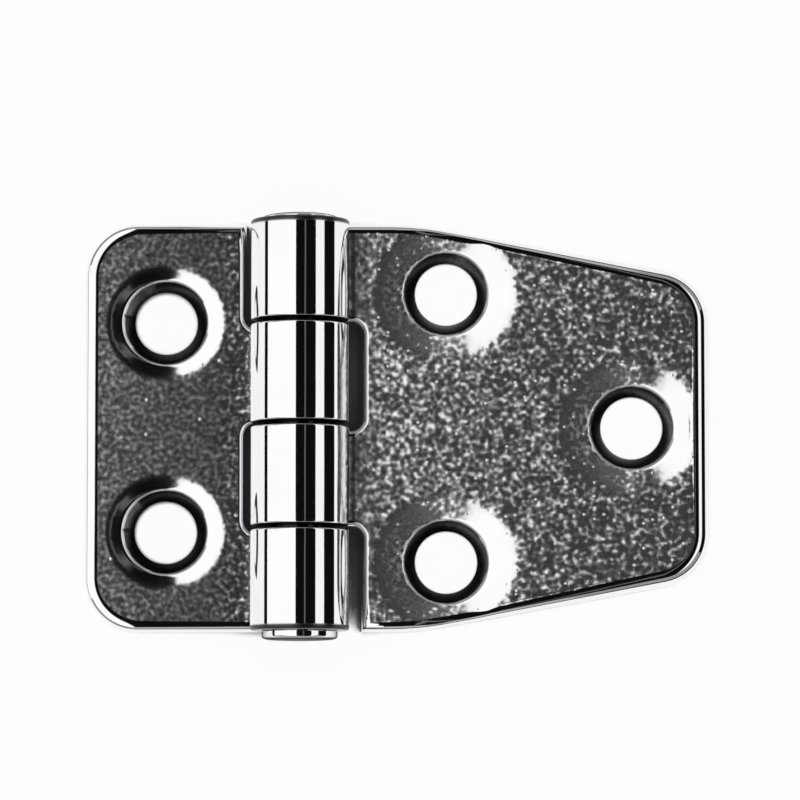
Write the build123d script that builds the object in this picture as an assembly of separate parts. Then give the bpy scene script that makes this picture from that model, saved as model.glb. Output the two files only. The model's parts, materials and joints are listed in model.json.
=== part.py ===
from build123d import *
from math import asin, cos, degrees, radians, sin, tan
import os

# Marine hinge in polished stainless sheet: a short leaf and a longer tapered leaf,
# each with tongues rolled into knuckles, turning on one pin peened at both ends.
# Frame: the leaves lie flat on z = 0 with their fronts up and the pin along Y,
# and the origin is the middle of the whole footprint on the mounting plane.

# Sheet and barrel
sheet_thickness = 2.0
pin_diameter = 5.0
running_clearance = 0.05  # radial, pin to knuckle bore
leaf_height = 38.0  # along the pin
knuckle_count = 4  # shared by the two leaves in turn
knuckle_gap = 0.4  # axial, between neighbouring knuckles
tip_gap = 0.15  # between the end of a roll and its own leaf
edge_break = 0.3  # chamfer of the knuckle rims and the leaf backs
short_notch_clearance = 0.5  # short leaf's edge to the other leaf's barrel
tapered_notch_clearance = 1.1  # the same on the tapered leaf
notch_corner_radius = 1.1
notch_break = 0.5  # chamfer of the notches in front

# Leaf outlines, measured from the pin axis
short_reach = 20.0
tapered_reach = 38.0
corner_radius = 5.0
taper_start = 10.5
tapered_end_height = 28.0  # across the tapered sides at the outer edge
taper_blend_radius = 25.0
edge_radius = 0.9  # rounding of the outside edges in front

# Screw holes, offset from the pin axis
hole_diameter = 5.8
countersink_diameter = 8.0
countersink_angle = 90.0
dish_slope = 17.0  # of the dish where it meets the countersink
short_dish_diameter = 11.0
tapered_dish_diameter = 13.6
short_hole_offset = 12.5
short_hole_spacing = 19.5
inner_hole_offset = 13.5
inner_hole_spacing = 25.0
outer_hole_offset = 30.75

# Pin ends
head_diameter = 7.0
head_height = 0.75
head_rim = 0.45  # straight part of the height, below the dome
head_gap = 0.1  # axial, head to knuckle

# Sizes that follow from the ones above
bore_radius = pin_diameter / 2 + running_clearance
barrel_radius = bore_radius + sheet_thickness
knuckle_pitch = leaf_height / knuckle_count
tongue_reach = barrel_radius / 2  # where the plate ends, under the roll
pin_x = (short_reach - tapered_reach) / 2
cut_margin = 1.0  # how far a cutter passes the face it cuts


def knuckle_span(index):
    """Lower and upper Y of one knuckle, counted from the +Y end."""
    top = leaf_height / 2 - index * knuckle_pitch
    bottom = top - knuckle_pitch
    if index > 0:
        top -= knuckle_gap / 2
    if index < knuckle_count - 1:
        bottom += knuckle_gap / 2
    return bottom, top


def rolled_section():
    """Section of a tongue: flat to below the pin, then round it and back down to the leaf."""
    ring = Circle(barrel_radius) - Circle(bore_radius)
    tip_angle = degrees(asin((barrel_radius - sheet_thickness - tip_gap) / barrel_radius))
    far = 2 * barrel_radius
    tip_ray = Vector(far, 0).rotate(Axis.Z, -tip_angle)
    open_side = make_face(Polyline((0, 0), (0, -far), (far, -far), tip_ray, close=True))
    tongue = Pos(tongue_reach / 2, sheet_thickness / 2) * Rectangle(tongue_reach, sheet_thickness)
    return Pos(0, barrel_radius) * (ring - open_side) + tongue


def rolled_knuckle(index):
    """One tongue and its roll, with its rims and back edges broken."""
    bottom, top = knuckle_span(index)
    roll = extrude(Pos(0, top) * (Plane.XZ * rolled_section()), top - bottom)
    arcs = roll.edges().filter_by(GeomType.CIRCLE)
    rims = arcs.filter_by(lambda edge: edge.radius > (bore_radius + barrel_radius) / 2)
    return chamfer(rims, edge_break)


def knuckle_notch(index, clearance):
    """Plan of the cut that clears the other leaf's knuckle, open towards the pin."""
    bottom, top = knuckle_span(index)
    top += knuckle_gap
    bottom -= knuckle_gap if index < knuckle_count - 1 else cut_margin
    reach = barrel_radius + clearance
    notch = Pos(0, (bottom + top) / 2) * Rectangle(2 * reach, top - bottom)
    corners = notch.vertices().group_by(Axis.X)[-1]
    inner = corners.filter_by(lambda corner: corner.Y > -leaf_height / 2)
    return fillet(inner, notch_corner_radius)


def beyond_tongue(edge):
    """True for the plate's own edges, not the cut where a roll takes over."""
    return edge.center().X > tongue_reach + cut_margin / 100


def in_notch(edge, clearance):
    """True for the edges of the cuts that clear the other leaf's knuckles."""
    middle = edge.center()
    between = abs(middle.Y) < leaf_height / 2 - cut_margin / 100
    return between and middle.X < barrel_radius + clearance + cut_margin / 100


def rounded_plate(outline, clearance):
    """Flat part of a leaf: outside edges rounded in front, notches and back edges broken."""
    plan = outline
    for index in range(1, knuckle_count, 2):
        plan -= knuckle_notch(index, clearance)
    blank = extrude(plan, sheet_thickness)
    front = blank.edges().group_by(Axis.Z)[-1].filter_by(beyond_tongue)
    blank = fillet(front.filter_by(lambda edge: not in_notch(edge, clearance)), edge_radius)
    front = blank.edges().group_by(Axis.Z)[-1].filter_by(beyond_tongue)
    blank = chamfer(front.filter_by(lambda edge: in_notch(edge, clearance)), notch_break)
    back = blank.edges().group_by(Axis.Z)[0].filter_by(beyond_tongue)
    return chamfer(back, edge_break)


def screw_hole(dish_diameter):
    """Cutter for one hole: a shallow dish that rolls into a countersink, then the through hole."""
    hole_radius = hole_diameter / 2
    sink_radius = countersink_diameter / 2
    dish_radius = dish_diameter / 2
    roll_radius = (dish_radius - sink_radius) / sin(radians(dish_slope))
    sink_top = sheet_thickness - roll_radius * (1 - cos(radians(dish_slope)))
    sink_bottom = sink_top - (sink_radius - hole_radius) / tan(radians(countersink_angle / 2))
    above = sheet_thickness + cut_margin
    dish = TangentArc((dish_radius, sheet_thickness), (sink_radius, sink_top), tangent=(-1, 0))
    sides = Polyline(
        (sink_radius, sink_top),
        (hole_radius, sink_bottom),
        (hole_radius, -cut_margin),
        (0, -cut_margin),
        (0, above),
        (dish_radius, above),
        (dish_radius, sheet_thickness),
    )
    return revolve(Plane.XZ * make_face([dish, sides]), Axis.Z)


def hinge_leaf(outline, clearance, hole_places, dish_diameter):
    """A leaf that reaches along +X from the pin axis at x = 0, with every other knuckle."""
    leaf = rounded_plate(outline, clearance)
    for index in range(0, knuckle_count, 2):
        leaf += rolled_knuckle(index)
    for x, y in hole_places:
        leaf -= Pos(x, y) * screw_hole(dish_diameter)
    return leaf


def pair(offset, spacing):
    """Places of two holes in a row along the pin."""
    return [(offset, spacing / 2), (offset, -spacing / 2)]


def short_outline():
    """Plan of the short leaf: a rectangle with rounded outer corners."""
    length = short_reach - tongue_reach
    blank = Pos(tongue_reach + length / 2, 0) * Rectangle(length, leaf_height)
    return fillet(blank.vertices().group_by(Axis.X)[-1], corner_radius)


def tapered_outline():
    """Plan of the long leaf: straight beside the barrel, then tapering to a rounded end."""
    half_root = leaf_height / 2
    half_end = tapered_end_height / 2
    upper = [(tongue_reach, half_root), (taper_start, half_root), (tapered_reach, half_end)]
    lower = [(x, -y) for x, y in reversed(upper)]
    blank = make_face(Polyline(*upper, *lower, close=True))
    columns = blank.vertices().group_by(Axis.X)
    blank = fillet(columns[-1], corner_radius)
    shoulders = blank.vertices().filter_by(lambda point: abs(point.X - taper_start) < cut_margin / 100)
    return fillet(shoulders, taper_blend_radius)


def short_leaf():
    """The short leaf, turned about so that its knuckles fall between the other leaf's."""
    places = pair(short_hole_offset, short_hole_spacing)
    leaf = hinge_leaf(short_outline(), short_notch_clearance, places, short_dish_diameter)
    return Rot(0, 0, 180) * leaf


def tapered_leaf():
    """The tapered leaf, with two holes near the pin and one near its end."""
    places = pair(inner_hole_offset, inner_hole_spacing) + [(outer_hole_offset, 0)]
    return hinge_leaf(tapered_outline(), tapered_notch_clearance, places, tapered_dish_diameter)


def hinge_pin():
    """The pin along Y, with a low peened head past each end of the barrel."""
    seat = leaf_height / 2 + head_gap
    rim = seat + head_rim
    crown = seat + head_height
    dome = TangentArc((0, crown), (head_diameter / 2, rim), tangent=(1, 0))
    side = Polyline(
        (head_diameter / 2, rim),
        (head_diameter / 2, seat),
        (pin_diameter / 2, seat),
        (pin_diameter / 2, 0),
        (0, 0),
        (0, crown),
    )
    half = revolve(make_face([dome, side]), Axis.Y)
    return Pos(0, 0, barrel_radius) * (half + Rot(180, 0, 0) * half)


os.makedirs("parts", exist_ok=True)
for part in (short_leaf, tapered_leaf, hinge_pin):
    export_step(Pos(pin_x, 0, 0) * part(), "parts/" + part.__name__ + ".step")
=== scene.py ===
import json
import math

import bmesh
import bpy
import numpy as np
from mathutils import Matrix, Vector
from mathutils.geometry import delaunay_2d_cdt


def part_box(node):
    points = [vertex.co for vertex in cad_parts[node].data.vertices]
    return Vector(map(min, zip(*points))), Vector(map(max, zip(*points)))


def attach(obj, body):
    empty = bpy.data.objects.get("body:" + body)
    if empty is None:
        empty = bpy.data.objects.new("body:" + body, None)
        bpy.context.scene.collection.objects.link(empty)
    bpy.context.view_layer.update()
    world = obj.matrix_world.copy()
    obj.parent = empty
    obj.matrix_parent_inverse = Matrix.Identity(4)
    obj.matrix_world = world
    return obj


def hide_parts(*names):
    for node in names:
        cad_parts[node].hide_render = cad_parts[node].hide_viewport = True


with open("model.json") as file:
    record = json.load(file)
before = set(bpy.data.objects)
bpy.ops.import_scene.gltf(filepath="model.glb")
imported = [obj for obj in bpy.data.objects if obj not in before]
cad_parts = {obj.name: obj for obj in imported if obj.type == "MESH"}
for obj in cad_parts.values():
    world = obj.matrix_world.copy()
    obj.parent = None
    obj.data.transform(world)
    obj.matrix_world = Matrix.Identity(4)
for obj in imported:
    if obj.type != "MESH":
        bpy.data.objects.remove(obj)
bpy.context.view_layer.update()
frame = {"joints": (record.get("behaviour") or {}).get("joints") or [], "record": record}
mm = 0.001
mounts = {mount["name"]: mount for mount in frame["record"]["mounts"]}
swing = frame["joints"][0]
pinX = swing["pos_m"][0] / mm
barrelRadius = swing["pos_m"][2] / mm  # the leaf backs lie on z = 0
print("frame loaded, pin at x", round(pinX, 3), "z", round(barrelRadius, 3))

meshing = {  # shared by all pieces, millimetres and degrees
    "same": 1e-5,  # points closer than this are one
    "near": 0.01,  # points closer than this to a line are on it
    "mergeWithin": 0.0002,
    "enclosedOnly": 1,  # output of the triangulation: what its outline encloses
    "sharpAngle": 32.0,  # faces that turn by less are shaded as one
}


def pieceFrom(work, name):  # a smoothly shaded object from a bmesh
    mesh = bpy.data.meshes.new(name)
    work.to_mesh(mesh)
    work.free()
    mesh.shade_smooth()
    mesh.set_sharp_from_angle(angle=math.radians(meshing["sharpAngle"]))
    piece = bpy.data.objects.new(name, mesh)
    bpy.context.scene.collection.objects.link(piece)
    return piece


# Sheet blanks: each leaf is laid out flat, tongues and all, then its tongues are rolled

sheetForm = {  # millimetres and degrees
    "thickness": 2.0,
    "outerRound": 0.95,  # front edges, worn over by the polishing wheel
    "notchRound": 0.7,  # front edges beside the other leaf's knuckles
    "changeOver": 3.0,  # the one turns into the other over this many outer roundings
    "boreRound": 0.12,  # front edges inside the roll
    "frontSteps": 14,
    "backRound": 0.18,
    "rimRound": 0.25,  # outer rims at the two ends of the barrel
    "backSteps": 7,
    "fullness": 2.0,  # of a rounding: 2 is a quarter round, more starts gentler
    "fadeFrom": 4.0,  # where the front rounding starts to fade, from the pin axis
    "fadeTo": 1.5,
    "supportGaps": (0.06, 0.5),  # loops that keep the flats flat beside a rounding
    "edgeInset": -1.0,  # inset of the cut edges, which take no grain
    "boreInset": 1.0,  # inset of the hole walls
    "knuckles": 4,
    "ownKnuckles": (0, 2),  # of each leaf, from the top when it lies to the right of the pin
    "knuckleGap": 0.4,
    "notchCorner": 1.1,
    "tipGap": 0.15,
    "rowStep": 3.0,  # rows across a tongue, degrees of roll
    "arcStep": 4.0,
    "arcLeast": 4,  # steps in the shortest arc
}

holeForm = {
    "radius": mounts["short_leaf_screws"]["dims"]["hole_r_mm"],
    "sinkRadius": 4.0,
    "dishRoll": 0.36,  # share of the dish's width that rolls over from the face
    "lipBlend": 0.13,
    "lipRings": (-0.12, -0.06, 0.0, 0.06, 0.12),  # rings of points, from the countersink's edge
    "coneGap": 0.24,  # between that edge and the nearest of the countersink's rings
    "coneRings": 5,
    "dishGap": 0.28,  # between that edge and the nearest of the dish's rings
    "ringStep": 0.16,
    "segments": 96,
    "edgeStep": 0.25,  # between points of an edge that runs past a dish
    "clearOfEdge": 0.1,  # from the rings to an edge rounding
}


def knuckleSpan(index, height):
    pitch = height / sheetForm["knuckles"]
    top = height / 2 - index * pitch
    bottom = top - pitch
    halfGap = sheetForm["knuckleGap"] / 2
    if index > 0:
        top -= halfGap
    if index < sheetForm["knuckles"] - 1:
        bottom += halfGap
    return bottom, top


def rollAngle():  # from under the pin, three quarters round and on to the tip above the leaf
    clear = sheetForm["thickness"] + sheetForm["tipGap"]
    return math.radians(270) + math.asin((barrelRadius - clear) / barrelRadius)


def tongueRows():  # x of each row of points across a tongue
    step = math.radians(sheetForm["rowStep"]) * barrelRadius
    flat = np.arange(sheetForm["fadeFrom"], meshing["near"], -2 * step)
    rolled = -np.arange(0, rollAngle() * barrelRadius - 2 * sheetForm["backRound"], step)
    return np.concatenate([flat, rolled])


def roundedPath(corners):  # corners are x, y, radius, anticlockwise
    points = []
    for i, (x, y, radius) in enumerate(corners):
        here = Vector((x, y))
        if radius == 0:
            points.append(here)
            continue
        before = (Vector(corners[i - 1][:2]) - here).normalized()
        after = (Vector(corners[(i + 1) % len(corners)][:2]) - here).normalized()
        half = before.angle(after) / 2
        centre = here + (before + after).normalized() * (radius / math.sin(half))
        start = here + before * (radius / math.tan(half)) - centre
        turn = math.copysign(math.pi - 2 * half, after.cross(before))
        count = math.ceil(abs(math.degrees(turn)) / sheetForm["arcStep"])
        count = max(sheetForm["arcLeast"], count)
        for k in range(count + 1):
            angle = turn * k / count
            spun = Vector((
                start.x * math.cos(angle) - start.y * math.sin(angle),
                start.x * math.sin(angle) + start.y * math.cos(angle),
            ))
            points.append(centre + spun)
    return points


def withRows(points, rows):  # adds the rows' ends to the straight sides of the tongues
    same = meshing["same"]
    out = []
    for i, here in enumerate(points):
        after = points[(i + 1) % len(points)]
        out.append(here)
        if abs(here.y - after.y) < same:
            low, high = sorted((here.x, after.x))
            between = sorted(x for x in rows if low + same < x < high - same)
            if after.x < here.x:
                between.reverse()
            out.extend(Vector((x, here.y)) for x in between)
    return np.array([(p.x, p.y) for p in out])


def blankOutline(leaf, outerCorners, height, rows):
    notchX = barrelRadius + leaf["notchClearance"]
    corner = sheetForm["notchCorner"]
    tip = -rollAngle() * barrelRadius
    spans = [knuckleSpan(index, height) for index in sheetForm["ownKnuckles"]]
    (low1, high1), (low2, high2) = spans
    ease = sheetForm["changeOver"] * sheetForm["outerRound"]
    corners = [(notchX, ease - height / 2, 0), (notchX, -height / 2, 0), *outerCorners]
    corners += [(tip, high1, 0), (tip, low1, 0), (notchX, low1, corner)]
    corners += [(notchX, high2, corner), (tip, high2, 0), (tip, low2, 0), (notchX, low2, corner)]
    return withRows(roundedPath(corners), rows)


def withDishPoints(outline, leaf, holes):  # adds points where an edge runs past a dish
    reach = holeForm["sinkRadius"] + leaf["dishWidth"] + holeForm["edgeStep"]
    out = []
    for start, end in zip(outline, np.roll(outline, -1, axis=0)):
        out.append(start)
        count = math.ceil(np.linalg.norm(end - start) / holeForm["edgeStep"])
        for k in range(1, count):
            point = start + (end - start) * k / count
            if min(np.linalg.norm(point - np.array(hole)) for hole in holes) < reach:
                out.append(point)
    return np.array(out, np.float32).astype(float)  # the triangulation rounds them so too


def ramp(x, start, end):  # 0 before start, 1 after end, smooth between
    t = np.clip((x - start) / (end - start), 0, 1)
    return t * t * (3 - 2 * t)


def endShare(x, leaf):  # 0 along the sides of a leaf, 1 at its outer end
    return ramp(x, leaf["endFrom"], leaf["endFrom"] + leaf["endBlend"])


def onEnds(outline, height):  # points on the upper and lower sides of the whole hinge
    return np.abs(outline[:, 1]) > height / 2 - meshing["near"]


def frontRadii(outline, leaf, height):  # rounding of the front edges, fading away inside the roll
    notchX = barrelRadius + leaf["notchClearance"]
    outer = (outline[:, 0] > notchX + meshing["near"]) | onEnds(outline, height)
    endExtra = leaf["endRound"] - sheetForm["outerRound"]
    worn = sheetForm["outerRound"] + endExtra * endShare(outline[:, 0], leaf)
    full = np.where(outer, worn, sheetForm["notchRound"])
    shown = ramp(outline[:, 0], sheetForm["fadeTo"], sheetForm["fadeFrom"])
    return sheetForm["boreRound"] + (full - sheetForm["boreRound"]) * shown


def backRadii(outline, height):  # the back of the sheet is the outside of the roll
    rims = onEnds(outline, height) * (1 - ramp(outline[:, 0], -barrelRadius, 0))
    return sheetForm["backRound"] + (sheetForm["rimRound"] - sheetForm["backRound"]) * rims


def inwardSteps(outline):  # one step into the sheet at each outline point, mitred at corners
    ahead = np.roll(outline, -1, axis=0) - outline
    ahead /= np.linalg.norm(ahead, axis=1)[:, None]
    left = np.stack([-ahead[:, 1], ahead[:, 0]], axis=1)
    both = left + np.roll(left, 1, axis=0)
    both /= np.linalg.norm(both, axis=1)[:, None]
    return both / np.sum(both * left, axis=1)[:, None]


def nearestEdge(points, outline, radii):  # distance to the outline, and the rounding there
    ends = np.roll(outline, -1, axis=0)
    endRadii = np.roll(radii, -1)
    best = np.full(len(points), np.inf)
    radius = np.zeros(len(points))
    for start, end, r0, r1 in zip(outline, ends, radii, endRadii):
        along = end - start
        t = np.clip(((points - start) @ along) / (along @ along), 0, 1)
        distance = np.linalg.norm(points - start - t[:, None] * along, axis=1)
        closer = distance < best
        best[closer] = distance[closer]
        radius[closer] = (r0 + (r1 - r0) * t)[closer]
    return best, radius


def insideOutline(points, outline):
    ends = np.roll(outline, -1, axis=0)
    inside = np.zeros(len(points), bool)
    for (x0, y0), (x1, y1) in zip(outline, ends):
        if y0 == y1:
            continue
        crosses = (y0 > points[:, 1]) != (y1 > points[:, 1])
        xAt = x0 + (points[:, 1] - y0) * (x1 - x0) / (y1 - y0)
        inside ^= crosses & (points[:, 0] < xAt)
    return inside


def roundDrop(distance, radius, fullness):  # how far an edge rounding falls away
    t = np.clip(1 - distance / radius, 0, 1)
    return radius * (1 - (1 - t ** fullness) ** (1 / fullness))


def holeDrop(r, leaf):  # face rolling into a shallow dish, then the countersink
    slope = math.radians(leaf["dishSlope"])
    dishWidth = leaf["dishWidth"]
    sink = holeForm["sinkRadius"]
    rollWidth = dishWidth * holeForm["dishRoll"]
    rollRadius = rollWidth / math.sin(slope)
    inward = np.maximum(sink + dishWidth - r, 0)
    rolled = np.minimum(inward, rollWidth)
    dish = rollRadius - np.sqrt(rollRadius * rollRadius - rolled * rolled)
    dish = dish + (inward - rolled) * math.tan(slope)
    lip = rollRadius * (1 - math.cos(slope)) + (dishWidth - rollWidth) * math.tan(slope)
    cone = lip + sink - r  # 90 degree countersink
    blend = np.clip(0.5 + 0.5 * (dish - cone) / holeForm["lipBlend"], 0, 1)
    return cone * (1 - blend) + dish * blend + holeForm["lipBlend"] * blend * (1 - blend)


def dishDrop(points, holes, leaf):  # what the dishes and countersinks take off the front
    drop = np.zeros(len(points))
    for hole in holes:
        r = np.linalg.norm(points - np.array(hole), axis=1)
        drop += np.where(r < holeForm["sinkRadius"] + leaf["dishWidth"], holeDrop(r, leaf), 0)
    return drop


def holeRings(dishWidth):  # radii of the rings round one hole
    sink = holeForm["sinkRadius"]
    rim = sink + dishWidth
    cone = np.linspace(holeForm["radius"], sink - holeForm["coneGap"], holeForm["coneRings"])
    lip = [sink + offset for offset in holeForm["lipRings"]]
    dish = np.arange(sink + holeForm["dishGap"], rim, holeForm["ringStep"])
    return [*cone, *lip, *dish, rim, rim + sheetForm["supportGaps"][0]]


def ringPoints(centre, radius):
    angles = np.arange(holeForm["segments"]) * 2 * math.pi / holeForm["segments"]
    return np.array(centre) + radius * np.stack([np.cos(angles), np.sin(angles)], axis=1)


def rowPairs(outline, rows, height):  # outline points at the two ends of each row
    same = meshing["same"]
    pairs = []
    for index in sheetForm["ownKnuckles"]:
        low, high = knuckleSpan(index, height)
        for x in rows:
            inRow = np.abs(outline[:, 0] - x) < same
            top = np.flatnonzero(inRow & (np.abs(outline[:, 1] - high) < same))
            bottom = np.flatnonzero(inRow & (np.abs(outline[:, 1] - low) < same))
            if len(top) and len(bottom):
                pairs.append((top[0], bottom[0]))
    return pairs


def flatFace(outline, radii, loops, rings, rowEnds):  # triangles over the sheet, seen from the front
    points, edges = [], []
    for loop in loops:
        base = len(points)
        points.extend(loop)
        edges.extend((base + k, base + (k + 1) % len(loop)) for k in range(len(loop)))
    edges.extend((base + a, base + b) for a, b in rowEnds)  # rows run across the innermost loop
    for ring in rings:
        distance, radius = nearestEdge(ring, outline, radii)
        clear = insideOutline(ring, outline) & (distance > radius + holeForm["clearOfEdge"])
        for k in np.flatnonzero(clear):
            after = (k + 1) % len(ring)
            points.append(ring[k])
            if clear[after]:
                points.append(ring[after])
                edges.append((len(points) - 2, len(points) - 1))
    points = [Vector(p) for p in points]
    done = delaunay_2d_cdt(points, edges, [], meshing["enclosedOnly"], meshing["same"])
    flat = np.array([(v.x, v.y) for v in done[0]])
    faces = [face for face in done[2] if len(face) == 3]
    middles = np.array([flat[list(face)].mean(axis=0) for face in faces])
    return flat, faces, middles


def leafBlank(name, leaf, outerCorners, height, holes):
    rows = tongueRows()
    outline = withDishPoints(blankOutline(leaf, outerCorners, height, rows), leaf, holes)
    inward = inwardSteps(outline)
    rowEnds = rowPairs(outline, rows, height)
    front = frontRadii(outline, leaf, height)
    back = backRadii(outline, height)
    thickness = sheetForm["thickness"]
    plain = sheetForm["fullness"]
    work = bmesh.new()
    inset = work.verts.layers.float.new("inset")  # distance in from the edge rounding, for the finish

    def place(flat, heights, insets):
        verts = []
        for (x, y), z, d in zip(flat, heights, insets):
            vert = work.verts.new((x * mm, y * mm, z * mm))
            vert[inset] = d
            verts.append(vert)
        return verts

    sides = (
        ("front", front, sheetForm["frontSteps"], holeRings(leaf["dishWidth"])),
        ("back", back, sheetForm["backSteps"], [holeForm["radius"]]),
    )
    for side, radii, steps, ringRadii in sides:
        loops = []
        for k in range(steps + 1):
            depth = 1 - math.sin(math.pi / 2 * (1 - k / steps))
            loops.append(outline + inward * (radii * depth)[:, None])
        for gap in sheetForm["supportGaps"]:
            loops.append(outline + inward * (radii + gap)[:, None])
        rings = [ringPoints(hole, r) for hole in holes for r in ringRadii]
        flat, faces, middles = flatFace(outline, radii, loops, rings, rowEnds)
        solid = np.ones(len(faces), bool)
        for hole in holes:
            fromHole = np.linalg.norm(middles - np.array(hole), axis=1)
            solid &= fromHole > holeForm["radius"] - meshing["same"]
        distance, radius = nearestEdge(flat, outline, radii)
        if side == "front":
            fullness = plain + (leaf["endFullness"] - plain) * endShare(flat[:, 0], leaf)
            drop = roundDrop(distance, radius, fullness) + dishDrop(flat, holes, leaf)
            verts = place(flat, thickness - drop, distance - radius)
        else:
            verts = place(flat, roundDrop(distance, radius, plain), distance - radius)
        for face, keep in zip(faces, solid):
            if keep:
                order = face if side == "front" else face[::-1]
                work.faces.new([verts[i] for i in order])

    def wall(loop, tops, bottoms, outward, depth):
        upper = place(loop, tops, np.full(len(loop), depth))
        lower = place(loop, bottoms, np.full(len(loop), depth))
        for k in range(len(loop)):
            after = (k + 1) % len(loop)
            quad = [lower[k], lower[after], upper[after], upper[k]]
            work.faces.new(quad if outward else quad[::-1])

    edgeTops = thickness - front - dishDrop(outline, holes, leaf)
    wall(outline, edgeTops, back, True, sheetForm["edgeInset"])
    for hole in holes:
        ring = ringPoints(hole, holeForm["radius"])
        tops = thickness - holeDrop(np.full(len(ring), holeForm["radius"]), leaf)
        wall(ring, tops, np.zeros(len(ring)), False, sheetForm["boreInset"])
    bmesh.ops.remove_doubles(work, verts=work.verts, dist=meshing["mergeWithin"] * mm)
    loose = [v for v in work.verts if not v.link_faces]
    bmesh.ops.delete(work, geom=loose, context="VERTS")
    gaps = sum(1 for e in work.edges if len(e.link_faces) != 2)
    piece = pieceFrom(work, name)
    print(name, "blank:", len(piece.data.polygons), "faces,", gaps, "open edges")
    return piece


def rollTree():  # geometry nodes: rolls the tongues round the pin and sets the leaf in place
    tree = bpy.data.node_groups.new("rollKnuckles", "GeometryNodeTree")
    face = tree.interface
    face.new_socket("Geometry", in_out="INPUT", socket_type="NodeSocketGeometry")
    for name in ("Barrel Radius", "Turn", "Pin X"):
        face.new_socket(name, in_out="INPUT", socket_type="NodeSocketFloat")
    face.new_socket("Finish", in_out="INPUT", socket_type="NodeSocketMaterial")
    face.new_socket("Geometry", in_out="OUTPUT", socket_type="NodeSocketGeometry")
    given = tree.nodes.new("NodeGroupInput")
    result = tree.nodes.new("NodeGroupOutput")

    def plug(value, socket):
        if isinstance(value, (int, float)):
            socket.default_value = value
        else:
            tree.links.new(value, socket)

    def calc(operation, a, b=0.0):
        node = tree.nodes.new("ShaderNodeMath")
        node.operation = operation
        plug(a, node.inputs[0])
        plug(b, node.inputs[1])
        return node.outputs[0]

    def joinXyz(x, y, z):
        node = tree.nodes.new("ShaderNodeCombineXYZ")
        for value, socket in zip((x, y, z), node.inputs):
            plug(value, socket)
        return node.outputs[0]

    radius = given.outputs["Barrel Radius"]
    split = tree.nodes.new("ShaderNodeSeparateXYZ")
    tree.links.new(tree.nodes.new("GeometryNodeInputPosition").outputs[0], split.inputs[0])
    x, y, z = split.outputs
    angle = calc("DIVIDE", calc("MULTIPLY", x, -1.0), radius)
    reach = calc("SUBTRACT", radius, z)  # the sheet's back is the outside of the roll
    rolledX = calc("MULTIPLY", calc("MULTIPLY", reach, calc("SINE", angle)), -1.0)
    rolledZ = calc("SUBTRACT", radius, calc("MULTIPLY", reach, calc("COSINE", angle)))
    roll = tree.nodes.new("GeometryNodeSetPosition")
    tree.links.new(given.outputs["Geometry"], roll.inputs["Geometry"])
    tree.links.new(calc("LESS_THAN", x, 0.0), roll.inputs["Selection"])
    tree.links.new(joinXyz(rolledX, y, rolledZ), roll.inputs["Position"])
    place = tree.nodes.new("GeometryNodeTransform")
    tree.links.new(roll.outputs["Geometry"], place.inputs["Geometry"])
    tree.links.new(joinXyz(given.outputs["Pin X"], 0.0, 0.0), place.inputs["Translation"])
    tree.links.new(joinXyz(0.0, 0.0, given.outputs["Turn"]), place.inputs["Rotation"])
    real = tree.nodes.new("GeometryNodeRealizeInstances")
    tree.links.new(place.outputs["Geometry"], real.inputs["Geometry"])
    finish = tree.nodes.new("GeometryNodeSetMaterial")
    tree.links.new(real.outputs["Geometry"], finish.inputs["Geometry"])
    tree.links.new(given.outputs["Finish"], finish.inputs["Material"])
    tree.links.new(finish.outputs["Geometry"], result.inputs["Geometry"])
    return tree


def applyTree(piece, tree, values):  # runs the tree and keeps its result as a plain mesh
    modifier = piece.modifiers.new("nodes", "NODES")
    modifier.node_group = tree
    for item in tree.interface.items_tree:
        if item.in_out == "INPUT" and item.name in values:
            modifier[item.identifier] = values[item.name]
    piece.update_tag()
    graph = bpy.context.evaluated_depsgraph_get()
    mesh = bpy.data.meshes.new_from_object(piece.evaluated_get(graph))
    piece.modifiers.remove(modifier)
    blank = piece.data
    piece.data = mesh
    bpy.data.meshes.remove(blank)
    mesh.name = piece.name


# Finishes

polish = {  # shared by the leaves and the pin; borders are where a mask starts and ends, millimetres
    "dark": 0.88,
    "light": 0.94,
    "cool": 0.006,  # how far blue stands above green, and red below it
    "toneScale": 260,  # noise scales are per metre
    "toneDetail": (2.0, 0.5),  # of a noise: octaves, and how strong each next one is
    "waveScale": 420,
    "waveDetail": (1.0, 0.5),
    "waveStretch": (1.0, 0.35, 1.0),
    "waveHeight": 0.006,  # slow unevenness left by the polishing, millimetres
    "grainDetail": (0.6, 0.4),
    "jointWidth": 0.32,  # dirt and painted shade beside the knuckle joints, millimetres
    "jointDirtAndShade": 0.97,
    "endWidth": 0.6,  # the same at the two ends of the barrel
    "endDirtAndShade": 0.93,
    "endFace": 0.7,  # less of it on the cut ends themselves
    "cutBorder": (-0.06, -0.01),  # of those, from the end of the barrel
    "dirtAndShadeCore": 0.6,  # share of a dark line's width that is full
    "dirtAndShadeRoughness": 0.3,
    "barrelBorder": (0.02, 0.2),  # where the dirt and painted shade end, above the barrel
    "barrelRoughness": 0.045,
    "flatsBorder": (0.05, 0.35),  # where the flats begin, beside the barrel
    "rimBorder": (-0.12, 0.02),  # where the grain starts, in from the edge rounding
    "backBorder": (0.02, 0.1),  # above the backs, which have no countersinks
    "sinkBorder": (-0.22, -0.12),  # from the countersink's edge
    "sinkRoughness": 0.12,
    "sinkPaintedShade": 0.16,  # painted dark reflection: countersinks and hole walls are darkened in colour
    "dishFrom": 0.45,  # share of a dish's width where its polish starts to fade
    "leeBorder": (-0.5, 2.0),  # where the lee of a hole ends, across it
    "leeReach": 1.0,  # how far the lee goes past the dish
    "leeLevels": (0.35, 0.65),  # noise levels for the two ends of its roughness
    "barrelSideBorder": (0.5, 4.5),  # where the grain changes beside the barrel
    "outerSideBorder": (5.0, 30.0),  # and towards the outer edge
}

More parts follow.
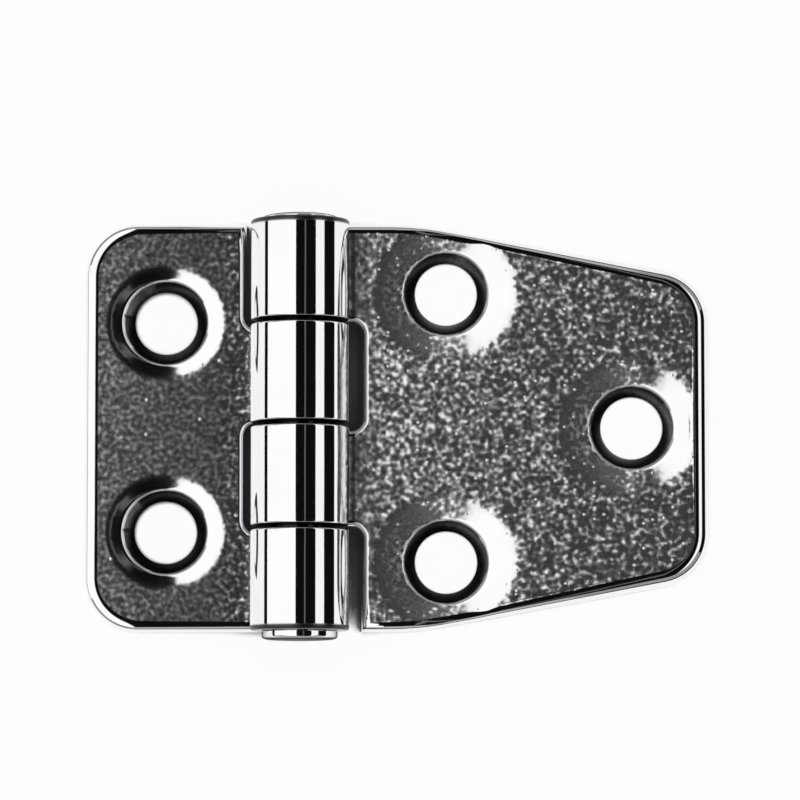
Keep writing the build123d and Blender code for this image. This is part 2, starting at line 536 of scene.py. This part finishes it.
shortGrain = {
    "scale": 2400,
    "tilt": 0.1,  # how far the grain tips the polish
    "middle": (0.5, 0.5),  # noise levels that tip it neither way, in x and y
    "barrelSide": 1.4,  # how much more it does beside the barrel
    "outerSide": 0.0,  # the same at the outer edge
    "roughness": 0.165,
    "dishRoughness": 0.08,
    "leeRoughness": (0.08, 0.08),  # in the lee of a hole, from grain to grain
    "dishGrain": 0.15,  # share of the grain that is left at the countersink
    "leeGrain": 0.15,
    "pitScale": 600,
    "pitShare": 0.1,
    "pitSize": 0.1,  # of the space between pits
    "pitHeight": 0.045,  # millimetres
}

taperedGrain = {
    "scale": 2300,
    "tilt": 0.285,
    "middle": (0.62, 0.5),
    "barrelSide": -0.45,
    "outerSide": 0.1,
    "roughness": 0.21,
    "dishRoughness": 0.13,
    "leeRoughness": (0.235, 0.3),
    "dishGrain": 0.12,
    "leeGrain": 1.5,
    "pitScale": 1100,
    "pitShare": 0.16,
    "pitSize": 0.16,
    "pitHeight": 0.05,
}


class finishTree:  # node helpers for one material of bare metal
    def __init__(self, name):
        self.material = bpy.data.materials.new(name)
        self.material.use_nodes = True
        self.tree = self.material.node_tree
        self.shader = self.tree.nodes["Principled BSDF"]
        self.shader.inputs["Metallic"].default_value = 1.0
        self.coords = self.tree.nodes.new("ShaderNodeTexCoord").outputs["Object"]

    def plug(self, value, socket):
        if isinstance(value, (int, float, tuple)):
            socket.default_value = value
        else:
            self.tree.links.new(value, socket)

    def calc(self, operation, a, b=0.0):
        node = self.tree.nodes.new("ShaderNodeMath")
        node.operation = operation
        self.plug(a, node.inputs[0])
        self.plug(b, node.inputs[1])
        return node.outputs[0]

    def vector(self, operation, a, b=(0.0, 0.0, 0.0)):
        node = self.tree.nodes.new("ShaderNodeVectorMath")
        node.operation = operation
        self.plug(a, node.inputs[0])
        self.plug(b, node.inputs[1])
        return node.outputs["Value" if operation == "LENGTH" else "Vector"]

    def axes(self):  # x, y and z on the piece, in metres
        split = self.tree.nodes.new("ShaderNodeSeparateXYZ")
        self.plug(self.coords, split.inputs[0])
        return split.outputs

    def away(self, centre, across):  # distance from an axis through a point, in metres
        offset = self.vector("SUBTRACT", self.coords, centre)
        return self.vector("LENGTH", self.vector("MULTIPLY", offset, across))

    def fromPin(self):
        return self.away((pinX * mm, 0.0, barrelRadius * mm), (1.0, 0.0, 1.0))

    def noise(self, scale, detail, roughness, stretch=(1.0, 1.0, 1.0), output="Fac"):
        node = self.tree.nodes.new("ShaderNodeTexNoise")
        node.inputs["Scale"].default_value = scale
        node.inputs["Detail"].default_value = detail
        node.inputs["Roughness"].default_value = roughness
        self.plug(self.vector("MULTIPLY", self.coords, stretch), node.inputs["Vector"])
        return node.outputs[output]

    def pits(self, grain):  # scattered round pits over the flats, 1 in the middle of each
        node = self.tree.nodes.new("ShaderNodeTexVoronoi")
        node.voronoi_dimensions = "2D"
        node.inputs["Scale"].default_value = grain["pitScale"]
        self.plug(self.coords, node.inputs["Vector"])
        split = self.tree.nodes.new("ShaderNodeSeparateColor")
        self.plug(node.outputs["Color"], split.inputs[0])
        chosen = self.calc("LESS_THAN", split.outputs["Red"], grain["pitShare"])
        dot = self.remap(node.outputs["Distance"], 0.0, grain["pitSize"], 1.0, 0.0)
        return self.calc("MULTIPLY", chosen, dot)

    def remap(self, value, fromLow, fromHigh, toLow, toHigh):
        node = self.tree.nodes.new("ShaderNodeMapRange")
        node.interpolation_type = "SMOOTHSTEP"
        for socket, setting in zip(node.inputs, (value, fromLow, fromHigh, toLow, toHigh)):
            self.plug(setting, socket)
        return node.outputs["Result"]

    def fade(self, value, base, border, toLow, toHigh):  # remap over a border, millimetres from a base
        start, end = ((base + offset) * mm for offset in border)
        return self.remap(value, start, end, toLow, toHigh)

    def mix(self, share, a, b):
        rest = self.calc("MULTIPLY", self.calc("SUBTRACT", 1.0, share), a)
        return self.calc("ADD", rest, self.calc("MULTIPLY", share, b))

    def bump(self, height, strength, distance, normal=None):
        node = self.tree.nodes.new("ShaderNodeBump")
        node.inputs["Distance"].default_value = distance
        self.plug(strength, node.inputs["Strength"])
        self.plug(height, node.inputs["Height"])
        if normal:
            self.plug(normal, node.inputs["Normal"])
        return node.outputs["Normal"]

    def tip(self, normal, offset):  # leans a normal over by an offset in the piece's own axes
        node = self.tree.nodes.new("ShaderNodeVectorTransform")
        node.vector_type = "VECTOR"
        node.convert_from = "OBJECT"
        node.convert_to = "WORLD"
        self.plug(offset, node.inputs[0])
        return self.vector("NORMALIZE", self.vector("ADD", normal, node.outputs[0]))

    def colour(self, tone, shade):  # polished steel between two tones, times a shade
        value = self.calc("MULTIPLY", self.mix(tone, polish["dark"], polish["light"]), shade)
        node = self.tree.nodes.new("ShaderNodeCombineColor")
        self.plug(self.calc("MULTIPLY", value, 1.0 - polish["cool"]), node.inputs["Red"])
        self.plug(value, node.inputs["Green"])
        self.plug(self.calc("MULTIPLY", value, 1.0 + polish["cool"]), node.inputs["Blue"])
        return node.outputs["Color"]


def jointDirtAndShade(steel, height, radial, endDirtAndShade):  # dark lines where knuckle meets knuckle, and at the ends: dirt, and painted shade in the gaps
    along = steel.axes()["Y"]
    end = height / 2
    halfPitch = end / sheetForm["knuckles"]
    core, width, endWidth = polish["dirtAndShadeCore"], polish["jointWidth"], polish["endWidth"]
    fromJoint = steel.calc("PINGPONG", along, halfPitch * mm)
    line = steel.fade(fromJoint, 0.0, (width * core, width), polish["jointDirtAndShade"], 0.0)
    fromMiddle = steel.calc("ABSOLUTE", along)
    inner = steel.fade(fromMiddle, end, (-halfPitch, -endWidth), 1.0, 0.0)
    darkEnd = steel.fade(fromMiddle, end, (-endWidth, -endWidth * core), 0.0, endDirtAndShade)
    cutEnd = steel.fade(fromMiddle, end, polish["cutBorder"], 1.0, polish["endFace"])
    line = steel.calc("MULTIPLY", line, inner)
    line = steel.calc("ADD", line, steel.calc("MULTIPLY", darkEnd, cutEnd))
    onBarrel = steel.fade(radial, barrelRadius, polish["barrelBorder"], 1.0, 0.0)
    return steel.calc("MULTIPLY", line, onBarrel)


def leafSteel(name, grain, leaf, holes, height):
    steel = finishTree(name)
    spot = steel.axes()
    radial = steel.fromPin()
    flats = steel.fade(radial, barrelRadius, polish["flatsBorder"], 0.0, 1.0)
    inset = steel.tree.nodes.new("ShaderNodeAttribute")
    inset.attribute_name = "inset"
    rim = steel.remap(inset.outputs["Fac"], *polish["rimBorder"], 0.0, 1.0)  # the inset is in millimetres
    flats = steel.calc("MULTIPLY", flats, rim)
    sink, dishWidth = holeForm["sinkRadius"], leaf["dishWidth"]
    outside, dish, lee = 1.0, 1.0, 0.0  # outside the countersinks, out of the dishes, in a lee
    for x, y in holes:
        fromHole = steel.away((x * mm, y * mm, 0.0), (1.0, 1.0, 0.0))
        clear = steel.fade(fromHole, sink, polish["sinkBorder"], 0.0, 1.0)
        outside = steel.calc("MULTIPLY", outside, clear)
        clear = steel.fade(fromHole, sink, (dishWidth * polish["dishFrom"], dishWidth), 0.0, 1.0)
        dish = steel.calc("MULTIPLY", dish, clear)
        nearby = steel.fade(fromHole, sink + dishWidth, (0.0, polish["leeReach"]), 1.0, 0.0)
        left = steel.fade(spot["X"], x, polish["leeBorder"], 1.0, 0.0)
        lee = steel.calc("MAXIMUM", lee, steel.calc("MULTIPLY", nearby, left))
    onBack = steel.fade(spot["Z"], 0.0, polish["backBorder"], 1.0, 0.0)
    outside = steel.calc("MAXIMUM", outside, onBack)

    tone = steel.noise(polish["toneScale"], *polish["toneDetail"])
    # dirt and painted shade darken the base colour at the knuckle joints and barrel ends
    dirtAndShade = jointDirtAndShade(steel, height, radial, polish["endDirtAndShade"])
    # painted dark reflection: the countersinks and hole walls get a darker base colour
    shade = steel.mix(outside, polish["sinkPaintedShade"], 1.0)
    shade = steel.calc("MULTIPLY", shade, steel.calc("SUBTRACT", 1.0, dirtAndShade))
    steel.plug(steel.colour(tone, shade), steel.shader.inputs["Base Color"])

    uneven = steel.noise(grain["scale"], *polish["grainDetail"])
    uneven = steel.remap(uneven, *polish["leeLevels"], *grain["leeRoughness"])
    roughness = steel.mix(lee, grain["dishRoughness"], uneven)
    roughness = steel.mix(dish, roughness, grain["roughness"])
    roughness = steel.mix(flats, polish["barrelRoughness"], roughness)
    roughness = steel.mix(outside, polish["sinkRoughness"], roughness)
    darkLineRoughness = steel.calc("MULTIPLY", dirtAndShade, polish["dirtAndShadeRoughness"])
    steel.plug(steel.calc("ADD", roughness, darkLineRoughness), steel.shader.inputs["Roughness"])

    besideBarrel = steel.fade(radial, barrelRadius, polish["barrelSideBorder"], grain["barrelSide"], 0.0)
    besideEdge = steel.fade(radial, barrelRadius, polish["outerSideBorder"], 0.0, grain["outerSide"])
    depth = steel.calc("ADD", steel.calc("ADD", 1.0, besideBarrel), besideEdge)
    worn = steel.mix(lee, grain["dishGrain"], grain["leeGrain"])
    depth = steel.calc("MULTIPLY", depth, steel.mix(dish, worn, 1.0))
    depth = steel.calc("MULTIPLY", depth, steel.calc("MULTIPLY", flats, outside))
    wave = steel.noise(polish["waveScale"], *polish["waveDetail"], polish["waveStretch"])
    normal = steel.bump(wave, 1.0, polish["waveHeight"] * mm)
    pits = steel.calc("MULTIPLY", steel.pits(grain), depth)
    normal = steel.bump(pits, 1.0, grain["pitHeight"] * mm, normal)
    grains = steel.noise(grain["scale"], *polish["grainDetail"], output="Color")
    tips = steel.vector("SUBTRACT", grains, (*grain["middle"], 0.0))
    tips = steel.vector("MULTIPLY", tips, (grain["tilt"], grain["tilt"], 0.0))
    tips = steel.vector("MULTIPLY", tips, depth)
    steel.plug(steel.tip(normal, tips), steel.shader.inputs["Normal"])
    return steel.material


# Leaves

shortLeaf = {
    "cornerRadius": 5.0,
    "endRound": 1.25,  # front edge at the outer end, from here on out
    "endFullness": 3.5,
    "endFrom": 13.0,
    "endBlend": 5.0,
    "dishWidth": 1.6,
    "dishSlope": 10.5,
    "notchClearance": 0.5,
}
taperedLeaf = {
    "taperStart": 10.5,
    "endHeight": 28.0,
    "blendRadius": 25.0,
    "cornerRadius": 5.0,
    "endRound": 1.5,
    "endFullness": 2.0,
    "endFrom": 27.0,
    "endBlend": 8.0,
    "dishWidth": 2.9,
    "dishSlope": 12.5,
    "notchClearance": 1.1,
}


def holePlaces(*names):  # hole centres in the shared frame
    places = []
    for name in names:
        x, y = (value / mm for value in mounts[name]["pos_m"][:2])
        half = mounts[name]["dims"].get("spacing_y_mm", 0) / 2
        places += [(x, y + half), (x, y - half)] if half else [(x, y)]
    return places


def dressLeaf(node, body, leaf, grain, outerCorners, height, holes, turn, tree):
    ownHoles = [(abs(x - pinX), y) for x, y in holes]  # from the pin, along the leaf
    piece = leafBlank(node + "_polished", leaf, outerCorners, height, ownHoles)
    finish = leafSteel(node + "_steel", grain, leaf, holes, height)
    applyTree(piece, tree, {
        "Barrel Radius": barrelRadius * mm, "Turn": turn, "Pin X": pinX * mm, "Finish": finish,
    })
    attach(piece, body)
    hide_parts(node)


def makeShortLeaf(tree):
    low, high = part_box("short_leaf")
    height = (high.y - low.y) / mm
    reach = pinX - low.x / mm
    corner = shortLeaf["cornerRadius"]
    corners = [(reach, -height / 2, corner), (reach, height / 2, corner)]
    holes = holePlaces("short_leaf_screws")
    dressLeaf("short_leaf", "fixed_leaf", shortLeaf, shortGrain, corners, height, holes, math.pi, tree)


def makeTaperedLeaf(tree):
    low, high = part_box("tapered_leaf")
    height = (high.y - low.y) / mm
    reach = high.x / mm - pinX
    start, end = taperedLeaf["taperStart"], taperedLeaf["endHeight"] / 2
    blend, corner = taperedLeaf["blendRadius"], taperedLeaf["cornerRadius"]
    corners = [
        (start, -height / 2, blend), (reach, -end, corner),
        (reach, end, corner), (start, height / 2, blend),
    ]
    holes = holePlaces("tapered_leaf_inner_screws", "tapered_leaf_outer_screw")
    dressLeaf("tapered_leaf", "swinging_leaf", taperedLeaf, taperedGrain, corners, height, holes, 0.0, tree)


# Pin

pinForm = {  # a head's peened face starts, and is full, at shares of its height
    "radius": 2.5,
    "lowerHead": {"height": 0.75, "fullness": 7.0, "face": (0.6, 0.95), "dirtAndShade": 0.65},
    "upperHead": {"height": 0.45, "fullness": 2.6, "face": (0.05, 0.95), "dirtAndShade": 0.9},
    "domeSteps": 22,
    "segments": 96,
    "grazingTint": 0.05,  # how bright the peened steel is seen edge-on
    "toneLevels": (0.3, 0.7),  # noise levels for the two ends of the polished roughness
    "polishedRoughness": (0.05, 0.09),
    "waveDetail": (2.0, 0.5),
    "faceRoughness": 0.3,
    "dentScale": 900,
    "dentDetail": (1.0, 0.5),
    "dentDepth": 0.04,
}


def pinFinish(name, height, seat):
    steel = finishTree(name)
    tint = pinForm["grazingTint"]
    steel.shader.inputs["Specular Tint"].default_value = (tint, tint, tint, 1.0)
    along = steel.axes()["Y"]
    # joint lines of dirt and painted shade, and darker head faces
    ends, dirtAndShade = 0.0, jointDirtAndShade(steel, height, steel.fromPin(), 0.0)
    for side, head in ((1.0, pinForm["upperHead"]), (-1.0, pinForm["lowerHead"])):
        outward = steel.calc("MULTIPLY", along, side)
        border = [head["height"] * share for share in head["face"]]
        face = steel.fade(outward, seat, border, 0.0, 1.0)
        ends = steel.calc("MAXIMUM", ends, face)
        # the peened faces are darker: rougher peened steel, and painted dark reflection
        dirtAndShade = steel.calc("MAXIMUM", dirtAndShade, steel.calc("MULTIPLY", face, head["dirtAndShade"]))
    tone = steel.noise(polish["toneScale"], *polish["toneDetail"])
    shade = steel.calc("SUBTRACT", 1.0, dirtAndShade)
    steel.plug(steel.colour(tone, shade), steel.shader.inputs["Base Color"])
    polished = steel.remap(tone, *pinForm["toneLevels"], *pinForm["polishedRoughness"])
    roughness = steel.mix(ends, polished, pinForm["faceRoughness"])
    steel.plug(roughness, steel.shader.inputs["Roughness"])
    wave = steel.noise(polish["waveScale"], *pinForm["waveDetail"])
    dents = steel.noise(pinForm["dentScale"], *pinForm["dentDetail"])
    normal = steel.bump(wave, 1.0, polish["waveHeight"] * mm)
    normal = steel.bump(dents, ends, pinForm["dentDepth"] * mm, normal)
    steel.plug(normal, steel.shader.inputs["Normal"])
    return steel.material


def makePin():
    low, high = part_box("hinge_pin")
    leafLow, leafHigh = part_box("short_leaf")
    headRadius = (high.x - low.x) / mm / 2
    seat = high.y / mm - pinForm["lowerHead"]["height"]

    def headProfile(head):  # from the middle of the head's face round to the shank
        points = [(0.0, seat + head["height"])]
        power = 2 / head["fullness"]
        for k in range(1, pinForm["domeSteps"]):
            angle = math.pi / 2 * k / pinForm["domeSteps"]
            rise = head["height"] * math.cos(angle) ** power
            points.append((headRadius * math.sin(angle) ** power, seat + rise))
        return points + [(headRadius, seat), (pinForm["radius"], seat)]

    lower = [(r, -y) for r, y in reversed(headProfile(pinForm["lowerHead"]))]
    profile = headProfile(pinForm["upperHead"]) + lower
    work = bmesh.new()
    verts = [work.verts.new((r * mm, y * mm, 0)) for r, y in profile]
    edges = [work.edges.new(pair) for pair in zip(verts, verts[1:])]
    bmesh.ops.spin(
        work, geom=verts + edges, cent=(0, 0, 0), axis=(0, 1, 0), dvec=(0, 0, 0),
        angle=2 * math.pi, steps=pinForm["segments"], use_merge=True, use_duplicate=False,
    )
    bmesh.ops.remove_doubles(work, verts=work.verts, dist=meshing["mergeWithin"] * mm)
    bmesh.ops.recalc_face_normals(work, faces=work.faces)
    bmesh.ops.translate(work, verts=work.verts, vec=(pinX * mm, 0, barrelRadius * mm))
    pin = pieceFrom(work, "hinge_pin_peened")
    pin.data.materials.append(pinFinish("pin_steel", (leafHigh.y - leafLow.y) / mm, seat))
    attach(pin, "fixed_leaf")
    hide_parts("hinge_pin")
    print("pin:", len(pin.data.polygons), "faces")


rolling = rollTree()
makeShortLeaf(rolling)
makeTaperedLeaf(rolling)
makePin()


# Studio: white surroundings, with dark and bright cards overhead for the polish to show

studio = {  # metres and degrees
    "cardRadius": 1.0,
    "cards": [  # degrees from straight up towards the tapered leaf, half length in degrees, level
        ("softLeft", -80.0, -9.0, 60.0, 1.08),
        ("flagTop", -9.0, 37.5, 55.0, 0.004),
        ("flagLow", 59.0, 89.0, 45.0, 0.004),
    ],
    "glintRadius": 0.99,  # just under the cards
    "glints": [("glintTop", 11.0, 14.0, 45.0, 0.12)],
    "cardStep": 3.0,
    "bandRadius": 0.9,
    "bands": [  # degrees round from the tapered leaf, degrees above the floor, level
        ("darkHorizon", 35.0, 325.0, 0.5, 10.0, 0.004),
        ("greyFarRight", 20.0, 75.0, 10.0, 34.0, 0.3),
        ("greyFar", 75.0, 105.0, 10.0, 34.0, 0.45),
        ("greyFarLeft", 105.0, 160.0, 10.0, 34.0, 0.3),
        ("greyNearLeft", 200.0, 255.0, 10.0, 34.0, 0.3),
        ("greyNear", 255.0, 285.0, 10.0, 34.0, 0.45),
        ("greyNearRight", 285.0, 340.0, 10.0, 34.0, 0.3),
    ],
    "bandStep": 5.0,
    "leastRows": 3,  # of any card
    "floorHalf": 3.0,
    "floorDrop": 0.00005,
    "floorTone": 0.95,
    "floorGlow": 0.92,
    "creviceShade": (0.42, 0.5),  # openness of the gaps where the floor's glow turns from dark to white: painted shade in narrow gaps
    "creviceReach": 0.012,
    "worldLevel": 0.95,
    "backdropLevel": 1.0,
}


def stageMesh(name, verts, faces, material):
    mesh = bpy.data.meshes.new(name)
    mesh.from_pydata(verts, [], faces)
    mesh.materials.append(material)
    thing = bpy.data.objects.new(name, mesh)
    bpy.context.scene.collection.objects.link(thing)
    return thing


def emptiedTree(owner):  # node tree of a material or world, with nothing in it
    owner.use_nodes = True
    owner.node_tree.nodes.clear()
    return owner.node_tree


def whiteLight(tree, kind, level):
    node = tree.nodes.new(kind)
    node.inputs["Color"].default_value = (1, 1, 1, 1)
    node.inputs["Strength"].default_value = level
    return node


def mixShaders(tree, share, first, second):
    node = tree.nodes.new("ShaderNodeMixShader")
    tree.links.new(share, node.inputs["Fac"])
    tree.links.new(first.outputs[0], node.inputs[1])
    tree.links.new(second.outputs[0], node.inputs[2])
    return node


def toSurface(tree, kind, node):
    output = tree.nodes.new(kind)
    tree.links.new(node.outputs[0], output.inputs["Surface"])


def seenDirectly(tree):  # 1 for rays that show the background: camera, mirror and glass rays
    path = tree.nodes.new("ShaderNodeLightPath")
    seen = path.outputs["Is Camera Ray"]
    for ray in ("Is Glossy Ray", "Is Transmission Ray"):
        either = tree.nodes.new("ShaderNodeMath")
        either.operation = "MAXIMUM"
        tree.links.new(seen, either.inputs[0])
        tree.links.new(path.outputs[ray], either.inputs[1])
        seen = either.outputs[0]
    return seen


def makeCard(name, rows, level):  # rows are pairs of corners along the card
    material = bpy.data.materials.new(name)
    tree = emptiedTree(material)
    toSurface(tree, "ShaderNodeOutputMaterial", whiteLight(tree, "ShaderNodeEmission", level))
    verts = [corner for row in rows for corner in row]
    faces = [(2 * k, 2 * k + 1, 2 * k + 3, 2 * k + 2) for k in range(len(rows) - 1)]
    card = stageMesh(name, verts, faces, material)
    card.visible_camera = False
    card.visible_diffuse = False
    card.visible_shadow = False


def cardAngles(start, end, step):  # of the rows of a card, in radians
    count = studio["leastRows"] + round((end - start) / step)
    return np.radians(np.linspace(start, end, count))


def overheadCard(radius, name, start, end, halfLength, level):  # part of a tunnel along the pin
    half = radius * math.tan(math.radians(halfLength))
    rows = []
    for angle in cardAngles(start, end, studio["cardStep"]):
        x, z = math.sin(angle) * radius, math.cos(angle) * radius
        rows.append([(x, -half, z), (x, half, z)])
    makeCard(name, rows, level)


def bandCard(radius, name, start, end, low, high, level):  # part of a ring round the hinge
    rows = []
    for angle in cardAngles(start, end, studio["bandStep"]):
        row = []
        for rise in np.radians((low, high)):
            flat = radius * math.cos(rise)
            row.append((flat * math.cos(angle), flat * math.sin(angle), radius * math.sin(rise)))
        rows.append(row)
    makeCard(name, rows, level)


def makeFloor():
    material = bpy.data.materials.new("paleFloor")
    tree = emptiedTree(material)
    lit = tree.nodes.new("ShaderNodeBsdfDiffuse")
    tone = studio["floorTone"]
    lit.inputs["Color"].default_value = (tone, tone, tone, 1)
    # the glow is dimmed by occlusion: painted shade in the gaps beside and under the hinge
    opening = tree.nodes.new("ShaderNodeAmbientOcclusion")
    opening.inputs["Distance"].default_value = studio["creviceReach"]
    lift = tree.nodes.new("ShaderNodeMapRange")
    tree.links.new(opening.outputs["AO"], lift.inputs["Value"])
    lift.inputs["From Min"].default_value, lift.inputs["From Max"].default_value = studio["creviceShade"]
    glow = whiteLight(tree, "ShaderNodeEmission", studio["backdropLevel"])
    tree.links.new(lift.outputs["Result"], glow.inputs["Strength"])
    share = tree.nodes.new("ShaderNodeMath")
    share.operation = "MULTIPLY"
    share.inputs[1].default_value = studio["floorGlow"]
    tree.links.new(seenDirectly(tree), share.inputs[0])
    toSurface(tree, "ShaderNodeOutputMaterial", mixShaders(tree, share.outputs[0], lit, glow))
    half, z = studio["floorHalf"], -studio["floorDrop"]
    verts = [(-half, -half, z), (half, -half, z), (half, half, z), (-half, half, z)]
    stageMesh("floor", verts, [(0, 1, 2, 3)], material)


def makeWorld():
    world = bpy.data.worlds.new("studio")
    bpy.context.scene.world = world
    tree = emptiedTree(world)
    soft = whiteLight(tree, "ShaderNodeBackground", studio["worldLevel"])
    shown = whiteLight(tree, "ShaderNodeBackground", studio["backdropLevel"])
    toSurface(tree, "ShaderNodeOutputWorld", mixShaders(tree, seenDirectly(tree), soft, shown))


for card in studio["cards"]:
    overheadCard(studio["cardRadius"], *card)
for card in studio["glints"]:
    overheadCard(studio["glintRadius"], *card)
for card in studio["bands"]:
    bandCard(studio["bandRadius"], *card)
makeFloor()
makeWorld()
print("studio set up")


# Camera nearly straight above, leaning a little towards the lower edge, as in the photograph

view = {
    "lens": 227.0,
    "sensor": 36.0,
    "distance": 0.47,
    "lean": 5.0,  # degrees
    "aim": (0.23, 2.69),  # what the middle of the picture looks at, millimetres
}

cameraData = bpy.data.cameras.new("camera")
cameraData.sensor_width = view["sensor"]
cameraData.lens = view["lens"]
camera = bpy.data.objects.new("camera", cameraData)
lean = math.radians(view["lean"])
camera.location = (
    view["aim"][0] * mm,
    view["aim"][1] * mm - view["distance"] * math.sin(lean),
    view["distance"] * math.cos(lean),
)
camera.rotation_euler = (lean, 0, 0)
bpy.context.scene.collection.objects.link(camera)
bpy.context.scene.camera = camera
bpy.context.scene.view_settings.view_transform = "Standard"
